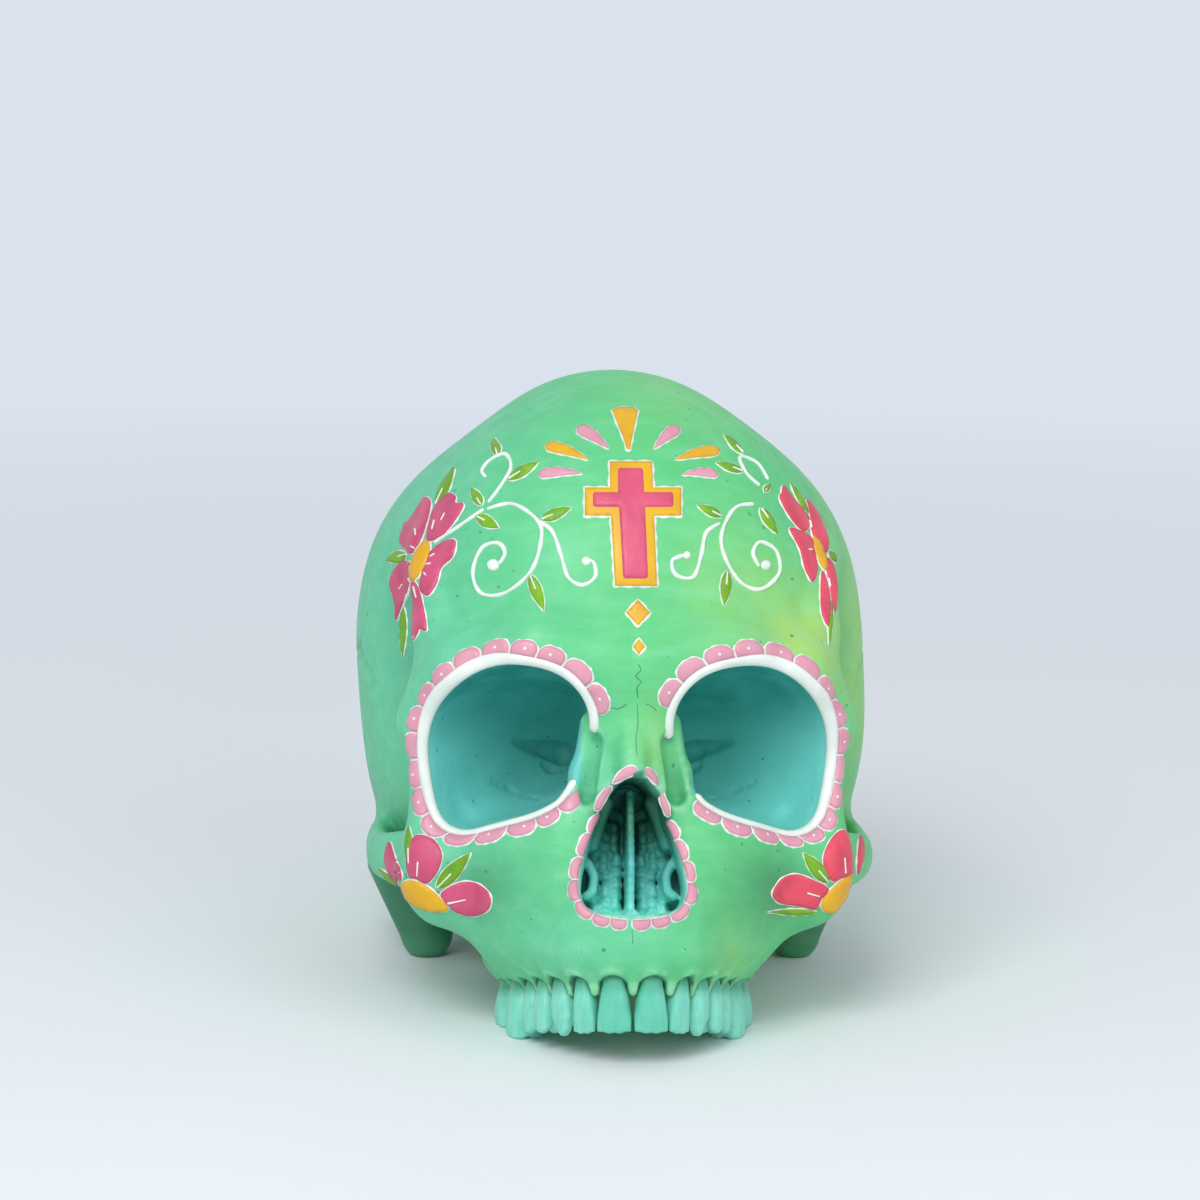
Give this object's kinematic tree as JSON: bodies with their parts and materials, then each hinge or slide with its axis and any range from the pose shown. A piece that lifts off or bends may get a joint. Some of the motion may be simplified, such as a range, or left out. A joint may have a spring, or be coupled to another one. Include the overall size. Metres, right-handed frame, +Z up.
{
  "type": "sugar skull",
  "caption": "Life-size painted upper skull without lower jaw, split at its sutures, with seated teeth and raised sugar-skull ornament; rests on molars and mastoids.",
  "frame": {"origin": "middle of the footprint on the table plane", "axes": "+Z up from the table, -Y the way the face looks, +X the skull's own left"},
  "size_m": [0.135, 0.205, 0.1584],
  "materials": {
    "mint_paint": "brushed-on satin paint over a cast body",
    "turquoise_paint": "brushed-on satin paint over a cast body",
    "white_paint": "brushed-on satin paint over a cast body",
    "yellow_paint": "brushed-on satin paint over a cast body",
    "rose_paint": "brushed-on satin paint over a cast body",
    "blush_paint": "brushed-on satin paint over a cast body"
  },
  "bodies": {
    "root": {"frontal_bone": "mint_paint", "parietal_bone_left": "mint_paint", "parietal_bone_right": "mint_paint", "occipital_bone": "mint_paint", "temporal_bone_left": "mint_paint", "temporal_bone_right": "mint_paint", "sphenoid_bone": "mint_paint", "ethmoid_bone": "mint_paint", "zygomatic_bone_left": "mint_paint", "zygomatic_bone_right": "mint_paint", "maxilla_left": "mint_paint", "maxilla_right": "mint_paint", "nasal_bone_left": "mint_paint", "nasal_bone_right": "mint_paint", "vomer": "mint_paint", "inferior_concha_left": "mint_paint", "inferior_concha_right": "mint_paint", "central_incisor_left": "turquoise_paint", "lateral_incisor_left": "turquoise_paint", "canine_left": "turquoise_paint", "first_premolar_left": "turquoise_paint", "second_premolar_left": "turquoise_paint", "first_molar_left": "turquoise_paint", "second_molar_left": "turquoise_paint", "central_incisor_right": "turquoise_paint", "lateral_incisor_right": "turquoise_paint", "canine_right": "turquoise_paint", "first_premolar_right": "turquoise_paint", "second_premolar_right": "turquoise_paint", "first_molar_right": "turquoise_paint", "second_molar_right": "turquoise_paint", "cross_border": "yellow_paint", "cross_inlay": "rose_paint", "ray_top": "yellow_paint", "diamond_large": "yellow_paint", "diamond_small": "yellow_paint", "ray_upper_left": "blush_paint", "ray_middle_left": "yellow_paint", "ray_lower_left": "blush_paint", "scrollwork_left": "white_paint", "forehead_flower_left": "rose_paint", "forehead_flower_eye_left": "yellow_paint", "cheek_flower_left": "rose_paint", "cheek_flower_eye_left": "yellow_paint", "orbit_rim_left": "white_paint", "orbit_scallops_left": "blush_paint", "nasal_scallops_left": "blush_paint", "ray_upper_right": "blush_paint", "ray_middle_right": "yellow_paint", "ray_lower_right": "blush_paint", "scrollwork_right": "white_paint", "forehead_flower_right": "rose_paint", "forehead_flower_eye_right": "yellow_paint", "cheek_flower_right": "rose_paint", "cheek_flower_eye_right": "yellow_paint", "orbit_rim_right": "white_paint", "orbit_scallops_right": "blush_paint", "nasal_scallops_right": "blush_paint"}
  },
  "joints": []
}
